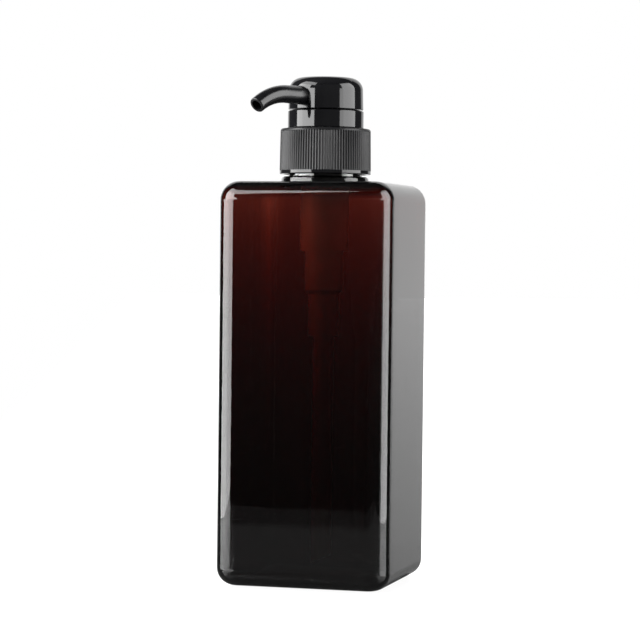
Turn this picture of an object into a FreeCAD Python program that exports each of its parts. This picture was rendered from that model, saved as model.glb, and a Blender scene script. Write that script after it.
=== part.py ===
import FreeCAD, Part
import math
import os
import Sketcher

# Square amber pump bottle for oil, with the pump head screwed down in its locked place.
# Millimetres. The origin is the middle of the base, +Z is up and the front face looks to -Y.

SIZES = [
    # shared by several pieces
    ("press_fit", "0.05"),
    ("cut_past", "1"),
    ("bevel_share", "0.9"),
    # bottle
    ("body_width", "70"),
    ("body_height", "158.4"),
    ("corner_radius", "9.2"),
    ("shoulder_radius", "7.4"),
    ("base_radius", "6.9"),
    ("wall_low", "1.75"),
    ("wall_high", "0.65"),
    ("floor_z", "1.8"),
    ("neck_radius", "14.8"),
    ("neck_wall", "2"),
    ("neck_height", "14.6"),
    ("bead_reach", "2.6"),
    ("bead_height", "2.5"),
    ("bead_sink", "2"),
    ("bead_bevel", "0.8"),
    ("bead_radius", "=neck_radius + bead_reach"),
    ("bead_root_z", "=body_height - bead_sink"),
    ("bead_top_z", "=body_height + bead_height"),
    ("neck_bore", "=neck_radius - neck_wall"),
    ("rim_z", "=bead_top_z + neck_height"),
    ("cavity_width", "=body_width - 2 * wall_low"),
    ("cavity_height", "=body_height - wall_high - floor_z"),
    ("cavity_draft", "=atan((wall_low - wall_high) / cavity_height)"),
    ("cavity_corner", "=corner_radius - (wall_low + wall_high) / 2"),
    ("cavity_shoulder", "=(shoulder_radius - wall_high) * bevel_share"),
    ("cavity_base", "=(base_radius - wall_low) * bevel_share"),
    ("cavity_neck_z", "=body_height - wall_high - cut_past"),
    ("cavity_end_z", "=rim_z + cut_past"),
    # pieces that run inside one another, from the stem outwards
    ("stem_radius", "4.6"),
    ("stem_gap", "0.15"),
    ("boss_wall", "1.95"),
    ("boss_gap", "0.3"),
    ("ring_tube_wall", "1.4"),
    ("barrel_gap", "0.1"),
    ("housing_wall", "1.2"),
    ("collar_reach", "0.6"),
    ("clip_fit", "0.1"),
    ("clip_wall", "1.2"),
    ("stem_socket", "=stem_radius + press_fit"),
    ("guide_bore", "=stem_radius + stem_gap"),
    ("boss_radius", "=stem_socket + boss_wall"),
    ("ring_bore", "=boss_radius + boss_gap"),
    ("ring_tube_radius", "=ring_bore + ring_tube_wall"),
    ("barrel_bore", "=ring_tube_radius + barrel_gap"),
    ("barrel_radius", "=barrel_bore + housing_wall"),
    ("collar_radius", "=barrel_radius + collar_reach"),
    ("clip_bore", "=collar_radius + clip_fit"),
    ("clip_radius", "=clip_bore + clip_wall"),
    # gasket on the rim
    ("gasket_thick", "1.2"),
    ("gasket_reach", "0.5"),
    ("gasket_gap", "0.4"),
    ("gasket_radius", "=neck_radius + gasket_reach"),
    ("gasket_bore", "=barrel_radius + gasket_gap"),
    # return spring, pressed together under the locked head
    ("wire_radius", "0.65"),
    ("spring_radius", "5.2"),
    ("spring_turns", "4"),
    ("spring_fit", "0.05"),
    ("spring_out_radius", "=spring_radius + wire_radius"),
    # pump housing, hung by its flange between the gasket and the closure
    ("flange_reach", "0.3"),
    ("flange_thick", "1.5"),
    ("barrel_length", "45.4"),
    ("pocket_length", "15.6"),
    ("pocket_gap", "0.55"),
    ("foot_length", "18.2"),
    ("foot_taper", "1.6"),
    ("foot_wall", "1.95"),
    ("inlet_ball_radius", "3"),
    ("inlet_lift", "1.65"),
    ("ball_gap", "0.02"),
    ("ball_side_gap", "1.4"),
    ("seat_hole", "2"),
    ("seat_thick", "1"),
    ("flange_radius", "=gasket_radius + flange_reach"),
    ("flange_z", "=rim_z + gasket_thick"),
    ("flange_top_z", "=flange_z + flange_thick"),
    ("barrel_end_z", "=flange_z - barrel_length"),
    ("barrel_floor_z", "=barrel_end_z + housing_wall"),
    ("pocket_bore", "=spring_out_radius + pocket_gap"),
    ("pocket_radius", "=pocket_bore + housing_wall"),
    ("pocket_end_z", "=barrel_end_z - pocket_length"),
    ("pocket_floor_z", "=pocket_end_z + housing_wall"),
    ("foot_top_z", "=pocket_end_z - foot_taper"),
    ("foot_end_z", "=pocket_end_z - foot_length"),
    ("ball_room", "=inlet_ball_radius + ball_side_gap"),
    ("inlet_ball_z", "=pocket_floor_z - inlet_lift - inlet_ball_radius"),
    ("seat_z", "=inlet_ball_z - ball_gap + seat_hole - inlet_ball_radius * sqrt(2)"),
    ("seat_rim_z", "=seat_z + ball_room - seat_hole"),
    ("socket_roof_z", "=seat_z - seat_thick"),
    # dip tube
    ("tube_radius", "4"),
    ("tube_wall", "0.8"),
    ("tube_rise", "3.2"),
    ("tube_cut_height", "7"),
    ("tube_end_gap", "0.2"),
    ("tube_bore", "=tube_radius - tube_wall"),
    ("socket_bore", "=tube_radius + press_fit"),
    ("foot_radius", "=socket_bore + foot_wall"),
    ("tube_end_z", "=floor_z + tube_rise"),
    ("tube_top_z", "=socket_roof_z - tube_end_gap"),
    ("tube_cut_z", "=tube_end_z + tube_cut_height"),
    # screw closure
    ("closure_lift", "1"),
    ("closure_fit", "0.2"),
    ("closure_roof", "1.6"),
    ("thread_room", "1.7"),
    ("closure_wall", "1.7"),
    ("closure_draft", "0.25"),
    ("closure_gap", "0.5"),
    ("closure_round", "0.9"),
    ("rib_count", "100"),
    ("groove_width", "0.5"),
    ("groove_depth", "0.3"),
    ("groove_low_margin", "1.4"),
    ("groove_high_margin", "1"),
    ("closure_z", "=bead_top_z + closure_lift"),
    ("closure_roof_z", "=flange_top_z + closure_fit"),
    ("closure_top_z", "=closure_roof_z + closure_roof"),
    ("closure_hole", "=collar_radius + closure_gap"),
    ("closure_bore", "=neck_radius + thread_room"),
    ("closure_low_radius", "=closure_bore + closure_wall"),
    ("closure_top_radius", "=closure_low_radius - closure_draft"),
    ("groove_low_z", "=closure_z + groove_low_margin"),
    ("groove_high_z", "=closure_top_z - groove_high_margin"),
    ("groove_low_radius", "=closure_low_radius - groove_depth"),
    ("groove_high_radius", "=closure_top_radius - groove_depth"),
    ("groove_out_radius", "=closure_low_radius + cut_past"),
    # lock ring, which holds the housing and the closure together and guides the stem
    ("ring_radius", "15.1"),
    ("ring_gap", "0.3"),
    ("ring_height", "6.8"),
    ("ring_wall", "1.4"),
    ("ring_roof", "1.6"),
    ("ring_bevel", "0.35"),
    ("ring_tube_length", "12.3"),
    ("guide_thick", "1.6"),
    ("collar_gap", "0.3"),
    ("ring_z", "=closure_top_z + ring_gap"),
    ("ring_top_z", "=ring_z + ring_height"),
    ("ring_roof_z", "=ring_top_z - ring_roof"),
    ("ring_inside", "=ring_radius - ring_wall"),
    ("ring_end_z", "=ring_z - ring_tube_length"),
    ("guide_top_z", "=ring_end_z + guide_thick"),
    ("collar_top_z", "=ring_roof_z - collar_gap"),
    # stem with its plug and outlet ball
    ("outlet_ball_radius", "2.2"),
    ("outlet_lift", "2.47"),
    ("stem_bore", "2.8"),
    ("stem_room_gap", "1"),
    ("stem_rest", "2.8"),
    ("stem_reach", "2.3"),
    ("nib_overlap", "0.5"),
    ("nib_width", "0.9"),
    ("nib_height", "1.6"),
    ("nib_count", "3"),
    ("plug_reach", "0.15"),
    ("plug_thick", "1.2"),
    ("plug_hole", "1.5"),
    ("plug_seat_height", "4.6"),
    ("plug_seat_depth", "1.1"),
    ("dome_gap", "0.4"),
    ("dome_z", "=ring_top_z + dome_gap"),
    ("stem_room", "=outlet_ball_radius + stem_room_gap"),
    ("stem_end_z", "=barrel_floor_z + stem_rest"),
    ("stem_top_z", "=dome_z + stem_reach"),
    ("nib_reach", "=outlet_ball_radius - nib_overlap"),
    ("plug_radius", "=spring_out_radius + plug_reach"),
    ("plug_top_z", "=stem_end_z - press_fit"),
    ("plug_z", "=plug_top_z - plug_thick"),
    ("plug_spigot", "=stem_room - press_fit"),
    ("plug_seat_z", "=stem_end_z + plug_seat_height"),
    ("plug_end_z", "=plug_seat_z + plug_seat_depth"),
    ("plug_seat_radius", "=plug_hole + plug_seat_depth"),
    ("outlet_ball_z", "=plug_seat_z - plug_hole + outlet_ball_radius * sqrt(2) + ball_gap"),
    ("ball_to_nib", "=sqrt(outlet_ball_radius ^ 2 - nib_reach ^ 2)"),
    ("stem_room_top_z", "=outlet_ball_z + outlet_lift + ball_to_nib"),
    # piston seal
    ("piston_height", "9"),
    ("piston_core_wall", "1.55"),
    ("piston_waist_depth", "0.35"),
    ("piston_web", "2"),
    ("piston_lip", "0.6"),
    ("piston_lip_slope", "0.45"),
    ("piston_inset", "0.5"),
    ("piston_bore", "=stem_radius + press_fit"),
    ("piston_core", "=piston_bore + piston_core_wall"),
    ("piston_radius", "=barrel_bore - press_fit"),
    ("piston_waist", "=piston_radius - piston_waist_depth"),
    ("lip_inner", "=piston_radius - piston_lip"),
    ("piston_sleeve", "=lip_inner - piston_lip_slope"),
    ("piston_top_z", "=stem_end_z + piston_height"),
    ("piston_mid_z", "=stem_end_z + piston_height / 2"),
    ("web_low_z", "=piston_mid_z - piston_web / 2"),
    ("web_high_z", "=piston_mid_z + piston_web / 2"),
    ("lip_low_z", "=stem_end_z + piston_inset"),
    ("lip_high_z", "=piston_top_z - piston_inset"),
    # ball cage that the spring stands on
    ("cage_thick", "1.2"),
    ("cage_fit", "0.1"),
    ("cage_hole", "0.9"),
    ("cage_hole_place", "2.9"),
    ("cage_hole_count", "5"),
    ("cage_radius", "=pocket_bore - cage_fit"),
    ("cage_top_z", "=pocket_floor_z + cage_thick"),
    # pump head: dome, boss on the stem and bent nozzle
    ("dome_radius", "14.95"),
    ("dome_draft", "0.2"),
    ("dome_height", "12.4"),
    ("dome_crown", "0.7"),
    ("dome_round", "5"),
    ("dome_wall", "1.5"),
    ("boss_depth", "11.5"),
    ("stem_end_gap", "0.2"),
    ("channel_gap", "0.3"),
    ("nozzle_rise", "5.1"),
    ("nozzle_start", "5.6"),
    ("nozzle_straight", "23.3"),
    ("nozzle_bend", "29.2"),
    ("nozzle_droop", "35"),
    ("nozzle_root_radius", "3.8"),
    ("nozzle_tip_radius", "3.12"),
    ("nozzle_bore", "2.1"),
    ("nozzle_heading", "243.4"),
    ("dome_top_radius", "=dome_radius - dome_draft"),
    ("dome_edge_z", "=dome_z + dome_height"),
    ("dome_top_z", "=dome_edge_z + dome_crown"),
    ("dome_inside", "=dome_radius - dome_wall"),
    ("dome_roof_z", "=dome_edge_z - dome_wall"),
    ("dome_inside_bevel", "=(dome_round - dome_wall) * bevel_share"),
    ("boss_z", "=dome_z - boss_depth"),
    ("stem_socket_top_z", "=stem_top_z + stem_end_gap"),
    ("nozzle_z", "=dome_z + nozzle_rise"),
    ("channel_top_z", "=nozzle_z + nozzle_bore + channel_gap"),
    ("nozzle_tip_x", "=nozzle_straight + nozzle_bend * sin(nozzle_droop * 1 deg)"),
    ("nozzle_tip_z", "=nozzle_z - nozzle_bend * (1 - cos(nozzle_droop * 1 deg))"),
    ("nozzle_centre_z", "=nozzle_z - nozzle_bend"),
    ("nozzle_tilt", "=90 + nozzle_droop"),
]

# How near an edge lies to the height or radius that it is chosen by.
CLOSE = 0.01
# The share of a turn over which the spring's heading is taken, and the points per turn of its gap test.
HEADING_STEP = 0.0005
GAP_POINTS = 48

doc = FreeCAD.newDocument("pump_bottle")
sheet = doc.addObject("Spreadsheet::Sheet", "dims")
for row, (name, content) in enumerate(SIZES, start=1):
    sheet.set("A%d" % row, name)
    sheet.set("B%d" % row, content)
    sheet.setAlias("B%d" % row, name)
doc.recompute()


def size(name):
    """The value of a named cell, or zero for the axis or base plane."""
    return float(getattr(sheet, name)) if name else 0.0


def bind(thing, prop, name):
    """Ties a property of an object to a named cell."""
    thing.setExpression(prop, "dims." + name)


def plane(body, role):
    """One of the body's own origin planes."""
    return [f for f in body.Origin.OriginFeatures if f.Role == role][0]


def new_body(label):
    body = doc.addObject("PartDesign::Body", label)
    body.Label = label
    return body


def new_sketch(body, role):
    sketch = body.newObject("Sketcher::SketchObject", body.Name + "_sketch")
    sketch.AttachmentSupport = [(plane(body, role), "")]
    sketch.MapMode = "FlatFace"
    return sketch


def place_point(sketch, line, end, names):
    """Fixes a line's end at two named distances from the sketch's origin."""
    for axis, kind, name in ((-2, "DistanceX", names[0]), (-1, "DistanceY", names[1])):
        if name:
            index = sketch.addConstraint(Sketcher.Constraint(kind, -1, 1, line, end, size(name)))
            bind(sketch, "Constraints[%d]" % index, name)
        else:
            sketch.addConstraint(Sketcher.Constraint("PointOnObject", line, end, axis))


def outline(sketch, corners):
    """A closed outline of straight lines through corners given as pairs of cell names."""
    points = [FreeCAD.Vector(size(x), size(y), 0) for x, y in corners]
    count = len(points)
    for i in range(count):
        sketch.addGeometry(Part.LineSegment(points[i], points[(i + 1) % count]))
    for i in range(count):
        sketch.addConstraint(Sketcher.Constraint("Coincident", i, 2, (i + 1) % count, 1))
    for i in range(count):
        place_point(sketch, i, 1, corners[i])


def turned(body, corners, kind="PartDesign::Revolution"):
    """A solid, or a cut, turned about the upright axis from a half section."""
    sketch = new_sketch(body, "XZ_Plane")
    outline(sketch, corners)
    feature = body.newObject(kind, body.Name + "_turn")
    feature.Profile = sketch
    feature.ReferenceAxis = (sketch, ["V_Axis"])
    feature.Angle = 360
    doc.recompute()
    return feature


def rounded(body, feature, name, chosen):
    """Rounds the edges of a feature for which chosen(edge) is true."""
    edges = ["Edge%d" % (i + 1) for i, e in enumerate(feature.Shape.Edges) if chosen(e)]
    fillet = body.newObject("PartDesign::Fillet", body.Name + "_round")
    fillet.Base = (feature, edges)
    bind(fillet, "Radius", name)
    doc.recompute()
    return fillet


def bevelled(body, feature, name, chosen):
    """Cuts a flat bevel along the edges of a feature for which chosen(edge) is true."""
    edges = ["Edge%d" % (i + 1) for i, e in enumerate(feature.Shape.Edges) if chosen(e)]
    bevel = body.newObject("PartDesign::Chamfer", body.Name + "_bevel")
    bevel.Base = (feature, edges)
    bind(bevel, "Size", name)
    doc.recompute()
    return bevel


def at_height(z, radius=None):
    """A test for edges that lie level at a height and, where given, at a radius."""

    def chosen(edge):
        box = edge.BoundBox
        level = abs(box.ZMin - z) < CLOSE and abs(box.ZMax - z) < CLOSE
        return level and (radius is None or abs(box.XMax - radius) < CLOSE)

    return chosen


def ring_pattern(body, feature, count_name):
    """Repeats a feature round the upright axis."""
    pattern = body.newObject("PartDesign::PolarPattern", body.Name + "_pattern")
    pattern.Originals = [feature]
    pattern.Axis = (plane(body, "XY_Plane").getParent().OriginFeatures[2], [""])
    pattern.Angle = 360
    bind(pattern, "Occurrences", count_name)
    body.Tip = pattern
    doc.recompute()
    return pattern


def square_block(label, width, base, height, draft, corner, shoulder, foot, shaped):
    """An upright square block with rounded corners, and its shoulder and foot shaped by a given function."""
    body = new_body(label)
    sketch = new_sketch(body, "XY_Plane")
    half = size(width) / 2
    corners = [(-half, -half), (half, -half), (half, half), (-half, half)]
    points = [FreeCAD.Vector(x, y, 0) for x, y in corners]
    for i in range(4):
        sketch.addGeometry(Part.LineSegment(points[i], points[(i + 1) % 4]))
        sketch.addConstraint(Sketcher.Constraint("Horizontal" if i % 2 == 0 else "Vertical", i))
    for i in range(4):
        sketch.addConstraint(Sketcher.Constraint("Coincident", i, 2, (i + 1) % 4, 1))
    sketch.addConstraint(Sketcher.Constraint("Symmetric", 0, 1, 1, 2, -1, 1))
    for i, kind in ((0, "DistanceX"), (1, "DistanceY")):
        index = sketch.addConstraint(Sketcher.Constraint(kind, i, 1, i, 2, size(width)))
        bind(sketch, "Constraints[%d]" % index, width)
    if base:
        bind(sketch, "AttachmentOffset.Base.z", base)
    pad = body.newObject("PartDesign::Pad", label + "_pad")
    pad.Profile = sketch
    bind(pad, "Length", height)
    if draft:
        bind(pad, "TaperAngle", draft)
    doc.recompute()
    top = size(base) + size(height)
    feature = rounded(body, pad, corner, lambda e: e.BoundBox.ZLength > size(height) - CLOSE)
    feature = shaped(body, feature, shoulder, at_height(top))
    shaped(body, feature, foot, at_height(size(base)))
    return body


def make_bottle():
    """One-piece blown shell that thins towards its shoulder, with a flat base, a bead and a plain neck."""
    outside = square_block(
        "bottle_outside", "body_width", "", "body_height", "",
        "corner_radius", "shoulder_radius", "base_radius", rounded
    )
    neck = turned(outside, [
        ("", "bead_root_z"), ("bead_radius", "bead_root_z"), ("bead_radius", "bead_top_z"),
        ("neck_radius", "bead_top_z"), ("neck_radius", "rim_z"), ("", "rim_z"),
    ])
    bevelled(outside, neck, "bead_bevel", at_height(size("bead_top_z"), size("bead_radius")))
    inside = square_block(
        "bottle_inside", "cavity_width", "floor_z", "cavity_height", "cavity_draft",
        "cavity_corner", "cavity_shoulder", "cavity_base", bevelled
    )
    turned(inside, [
        ("", "cavity_neck_z"), ("neck_bore", "cavity_neck_z"),
        ("neck_bore", "cavity_end_z"), ("", "cavity_end_z"),
    ])
    bottle = doc.addObject("Part::Cut", "bottle")
    bottle.Base = outside
    bottle.Tool = inside
    return bottle


def make_closure():
    """Screw collar with fine upright grooves between two plain bands."""
    body = new_body("closure")
    feature = turned(body, [
        ("closure_bore", "closure_z"), ("closure_low_radius", "closure_z"),
        ("closure_top_radius", "closure_top_z"), ("closure_hole", "closure_top_z"),
        ("closure_hole", "closure_roof_z"), ("closure_bore", "closure_roof_z"),
    ])
    rounded(body, feature, "closure_round", at_height(size("closure_top_z"), size("closure_top_radius")))
    sketch = new_sketch(body, "XZ_Plane")
    outline(sketch, [
        ("groove_low_radius", "groove_low_z"), ("groove_out_radius", "groove_low_z"),
        ("groove_out_radius", "groove_high_z"), ("groove_high_radius", "groove_high_z"),
    ])
    groove = body.newObject("PartDesign::Pocket", "closure_groove")
    groove.Profile = sketch
    groove.SideType = "Symmetric"
    bind(groove, "Length", "groove_width")
    doc.recompute()
    ring_pattern(body, groove, "rib_count")
    return body


def make_gasket():
    body = new_body("gasket")
    turned(body, [
        ("gasket_bore", "rim_z"), ("gasket_radius", "rim_z"),
        ("gasket_radius", "flange_z"), ("gasket_bore", "flange_z"),
    ])
    return body


def make_housing():
    """Stepped pump barrel with a flange, a snap collar, a spring pocket, a ball seat and a tube socket."""
    body = new_body("housing")
    turned(body, [
        ("socket_bore", "foot_end_z"), ("foot_radius", "foot_end_z"), ("foot_radius", "foot_top_z"),
        ("pocket_radius", "pocket_end_z"), ("pocket_radius", "barrel_end_z"),
        ("barrel_radius", "barrel_end_z"), ("barrel_radius", "flange_z"),
        ("flange_radius", "flange_z"), ("flange_radius", "flange_top_z"),
        ("collar_radius", "flange_top_z"), ("collar_radius", "collar_top_z"),
        ("barrel_bore", "collar_top_z"), ("barrel_bore", "barrel_floor_z"),
        ("pocket_bore", "barrel_floor_z"), ("pocket_bore", "pocket_floor_z"),
        ("ball_room", "pocket_floor_z"), ("ball_room", "seat_rim_z"), ("seat_hole", "seat_z"),
        ("seat_hole", "socket_roof_z"), ("socket_bore", "socket_roof_z"),
    ])
    return body


def make_lock_ring():
    """Smooth ring over the closure, with a clip round the housing collar and a guide for the stem."""
    body = new_body("lock_ring")
    feature = turned(body, [
        ("guide_bore", "ring_end_z"), ("ring_tube_radius", "ring_end_z"),
        ("ring_tube_radius", "ring_roof_z"), ("clip_bore", "ring_roof_z"), ("clip_bore", "ring_z"),
        ("clip_radius", "ring_z"), ("clip_radius", "ring_roof_z"), ("ring_inside", "ring_roof_z"),
        ("ring_inside", "ring_z"), ("ring_radius", "ring_z"), ("ring_radius", "ring_top_z"),
        ("ring_bore", "ring_top_z"), ("ring_bore", "guide_top_z"), ("guide_bore", "guide_top_z"),
    ])
    bevelled(body, feature, "ring_bevel", at_height(size("ring_top_z"), size("ring_radius")))
    return body


def make_dip_tube():
    """Straight tube with its lower end cut on a slant."""
    body = new_body("dip_tube")
    turned(body, [
        ("tube_bore", "tube_end_z"), ("tube_radius", "tube_end_z"),
        ("tube_radius", "tube_top_z"), ("tube_bore", "tube_top_z"),
    ])
    sketch = new_sketch(body, "XZ_Plane")
    reach = 2 * size("tube_radius")
    points = [(-reach, size("tube_end_z")), (reach, size("tube_end_z")), (reach, size("tube_cut_z"))]
    for i in range(3):
        start, end = points[i], points[(i + 1) % 3]
        sketch.addGeometry(Part.LineSegment(FreeCAD.Vector(*start, 0), FreeCAD.Vector(*end, 0)))
    for i in range(3):
        sketch.addConstraint(Sketcher.Constraint("Coincident", i, 2, (i + 1) % 3, 1))
    sketch.addConstraint(Sketcher.Constraint("Horizontal", 0))
    sketch.addConstraint(Sketcher.Constraint("Vertical", 1))
    for line, name in ((1, "tube_end_z"), (2, "tube_cut_z")):
        index = sketch.addConstraint(Sketcher.Constraint("DistanceY", -1, 1, line, 1, size(name)))
        bind(sketch, "Constraints[%d]" % index, name)
    index = sketch.addConstraint(Sketcher.Constraint("DistanceX", -1, 1, 1, 1, reach))
    sketch.setExpression("Constraints[%d]" % index, "2 * dims.tube_radius")
    index = sketch.addConstraint(Sketcher.Constraint("DistanceX", 0, 1, 0, 2, 2 * reach))
    sketch.setExpression("Constraints[%d]" % index, "4 * dims.tube_radius")
    slant = body.newObject("PartDesign::Pocket", "dip_tube_slant")
    slant.Profile = sketch
    slant.SideType = "Symmetric"
    slant.Type = "ThroughAll"
    doc.recompute()
    return body


def make_ball_cage():
    """Disc that keeps the inlet ball down, with a ring of holes for the oil."""
    body = new_body("ball_cage")
    turned(body, [
        ("", "pocket_floor_z"), ("cage_radius", "pocket_floor_z"),
        ("cage_radius", "cage_top_z"), ("", "cage_top_z"),
    ])
    sketch = new_sketch(body, "XY_Plane")
    bind(sketch, "AttachmentOffset.Base.z", "cage_top_z")
    centre = FreeCAD.Vector(size("cage_hole_place"), 0, 0)
    sketch.addGeometry(Part.Circle(centre, FreeCAD.Vector(0, 0, 1), size("cage_hole")))
    sketch.addConstraint(Sketcher.Constraint("PointOnObject", 0, 3, -1))
    index = sketch.addConstraint(Sketcher.Constraint("DistanceX", -1, 1, 0, 3, size("cage_hole_place")))
    bind(sketch, "Constraints[%d]" % index, "cage_hole_place")
    index = sketch.addConstraint(Sketcher.Constraint("Radius", 0, size("cage_hole")))
    bind(sketch, "Constraints[%d]" % index, "cage_hole")
    hole = body.newObject("PartDesign::Pocket", "ball_cage_hole")
    hole.Profile = sketch
    hole.Type = "ThroughAll"
    doc.recompute()
    ring_pattern(body, hole, "cage_hole_count")
    return body


def make_ball(label, radius, height):
    ball = doc.addObject("Part::Sphere", label)
    bind(ball, "Radius", radius)
    bind(ball, "Placement.Base.z", height)
    return ball


def make_stem():
    """Hollow stem with a room for the outlet ball and three nibs that stop it."""
    body = new_body("stem")
    turned(body, [
        ("stem_room", "stem_end_z"), ("stem_radius", "stem_end_z"), ("stem_radius", "stem_top_z"),
        ("stem_bore", "stem_top_z"), ("stem_bore", "stem_room_top_z"), ("stem_room", "stem_room_top_z"),
    ])
    sketch = new_sketch(body, "XY_Plane")
    bind(sketch, "AttachmentOffset.Base.z", "stem_room_top_z")
    half = size("nib_width") / 2
    near = size("nib_reach")
    far = size("stem_room")
    points = [(near, -half), (far, -half), (far, half), (near, half)]
    for i in range(4):
        start, end = points[i], points[(i + 1) % 4]
        sketch.addGeometry(Part.LineSegment(FreeCAD.Vector(*start, 0), FreeCAD.Vector(*end, 0)))
    for i in range(4):
        sketch.addConstraint(Sketcher.Constraint("Coincident", i, 2, (i + 1) % 4, 1))
    sketch.addConstraint(Sketcher.Constraint("Horizontal", 0))
    sketch.addConstraint(Sketcher.Constraint("Horizontal", 2))
    sketch.addConstraint(Sketcher.Constraint("Vertical", 3))
    sketch.addConstraint(Sketcher.Constraint("Symmetric", 1, 1, 1, 2, -1))
    for kind, line, end, name in (("DistanceX", 0, 1, "nib_reach"), ("DistanceX", 0, 2, "stem_room")):
        index = sketch.addConstraint(Sketcher.Constraint(kind, -1, 1, line, end, size(name)))
        bind(sketch, "Constraints[%d]" % index, name)
    index = sketch.addConstraint(Sketcher.Constraint("DistanceY", 1, 1, 1, 2, size("nib_width")))
    bind(sketch, "Constraints[%d]" % index, "nib_width")
    nib = body.newObject("PartDesign::Pad", "stem_nib")
    nib.Profile = sketch
    bind(nib, "Length", "nib_height")
    doc.recompute()
    ring_pattern(body, nib, "nib_count")
    return body


def make_stem_plug():
    """Plug in the stem's end: the spring pushes on its flange and the outlet ball sits on its cone."""
    body = new_body("stem_plug")
    turned(body, [
        ("plug_hole", "plug_z"), ("plug_radius", "plug_z"), ("plug_radius", "plug_top_z"),
        ("plug_spigot", "plug_top_z"), ("plug_spigot", "plug_end_z"),
        ("plug_seat_radius", "plug_end_z"), ("plug_hole", "plug_seat_z"),
    ])
    return body


def make_piston():
    """Seal with a core on the stem and a sleeve whose two lips run in the barrel."""
    body = new_body("piston")
    turned(body, [
        ("piston_bore", "stem_end_z"), ("piston_core", "stem_end_z"), ("piston_core", "web_low_z"),
        ("piston_sleeve", "web_low_z"), ("lip_inner", "lip_low_z"), ("piston_radius", "lip_low_z"),
        ("piston_waist", "piston_mid_z"), ("piston_radius", "lip_high_z"), ("lip_inner", "lip_high_z"),
        ("piston_sleeve", "web_high_z"), ("piston_core", "web_high_z"), ("piston_core", "piston_top_z"),
        ("piston_bore", "piston_top_z"),
    ])
    return body


def spring_point(turn):
    """The middle of the wire after a number of turns."""
    wire = size("wire_radius")
    low = size("cage_top_z") + size("spring_fit") + wire
    high = size("plug_z") - size("spring_fit") - wire
    radius = size("spring_radius")
    angle = 2 * math.pi * turn
    rise = (high - low) * turn / size("spring_turns")
    return FreeCAD.Vector(radius * math.cos(angle), radius * math.sin(angle), low + rise)


def spring_heading(turn):
    ahead = spring_point(turn + HEADING_STEP) - spring_point(turn - HEADING_STEP)
    return ahead.normalize()


def biarc(start, start_way, end, end_way):
    """Two arcs that join two points with given headings."""
    chord = end - start
    ways = start_way + end_way
    a = 2 * (1 - start_way.dot(end_way))
    b = 2 * chord.dot(ways)
    c = -chord.dot(chord)
    reach = (-b + math.sqrt(b * b - 4 * a * c)) / (2 * a)
    middle = (start + end + (start_way - end_way) * reach) * 0.5
    first = middle_of_arc(start, start_way, middle)
    second = middle_of_arc(end, end_way * -1, middle)
    return Part.Arc(start, first, middle).toShape(), Part.Arc(middle, second, end).toShape()


def middle_of_arc(start, way, end):
    """A point half way along the arc that leaves start along way and ends at end."""
    chord = end - start
    length = chord.Length
    along = chord * (1 / length)
    side = way - along * way.dot(along)
    half_angle = math.acos(max(-1.0, min(1.0, way.dot(along))))
    side.normalize()
    return start + chord * 0.5 + side * (length / 2 * math.tan(half_angle / 2))


def make_spring():
    """Wire helix swept as one unbroken tube along pairs of arcs of half a turn."""
    steps = int(size("spring_turns") * 2)
    edges = []
    for step in range(steps):
        start, end = step / 2, (step + 1) / 2
        edges.extend(biarc(
            spring_point(start), spring_heading(start), spring_point(end), spring_heading(end)
        ))
    path = Part.Wire(edges)
    ring = Part.Wire(Part.makeCircle(size("wire_radius"), spring_point(0), spring_heading(0)))
    shell = Part.BRepOffsetAPI.MakePipeShell(path)
    shell.add(ring)
    shell.build()
    shell.makeSolid()
    spring = doc.addObject("Part::Feature", "spring")
    spring.Shape = shell.shape()
    samples = [spring_point(i / GAP_POINTS) for i in range(int(size("spring_turns") * GAP_POINTS) + 1)]
    gap = min(
        (samples[i] - samples[j]).Length
        for i in range(len(samples))
        for j in range(i + GAP_POINTS // 2, len(samples))
    )
    print("spring: least gap to itself %.2f mm" % (gap - 2 * size("wire_radius")))
    return spring


def circle_sketch(label, radius, x, z, tilt):
    """A circle on a plane across the nozzle's path."""
    sketch = doc.addObject("Sketcher::SketchObject", label)
    sketch.addGeometry(Part.Circle(FreeCAD.Vector(0, 0, 0), FreeCAD.Vector(0, 0, 1), size(radius)))
    sketch.addConstraint(Sketcher.Constraint("Coincident", 0, 3, -1, 1))
    index = sketch.addConstraint(Sketcher.Constraint("Radius", 0, size(radius)))
    bind(sketch, "Constraints[%d]" % index, radius)
    turn = size(tilt) if tilt else 90
    sketch.Placement = FreeCAD.Placement(
        FreeCAD.Vector(size(x), 0, size(z)), FreeCAD.Rotation(FreeCAD.Vector(0, 1, 0), turn)
    )
    if x:
        bind(sketch, "Placement.Base.x", x)
    bind(sketch, "Placement.Base.z", z)
    if tilt:
        bind(sketch, "Placement.Rotation.Angle", tilt)
    return sketch


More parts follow.
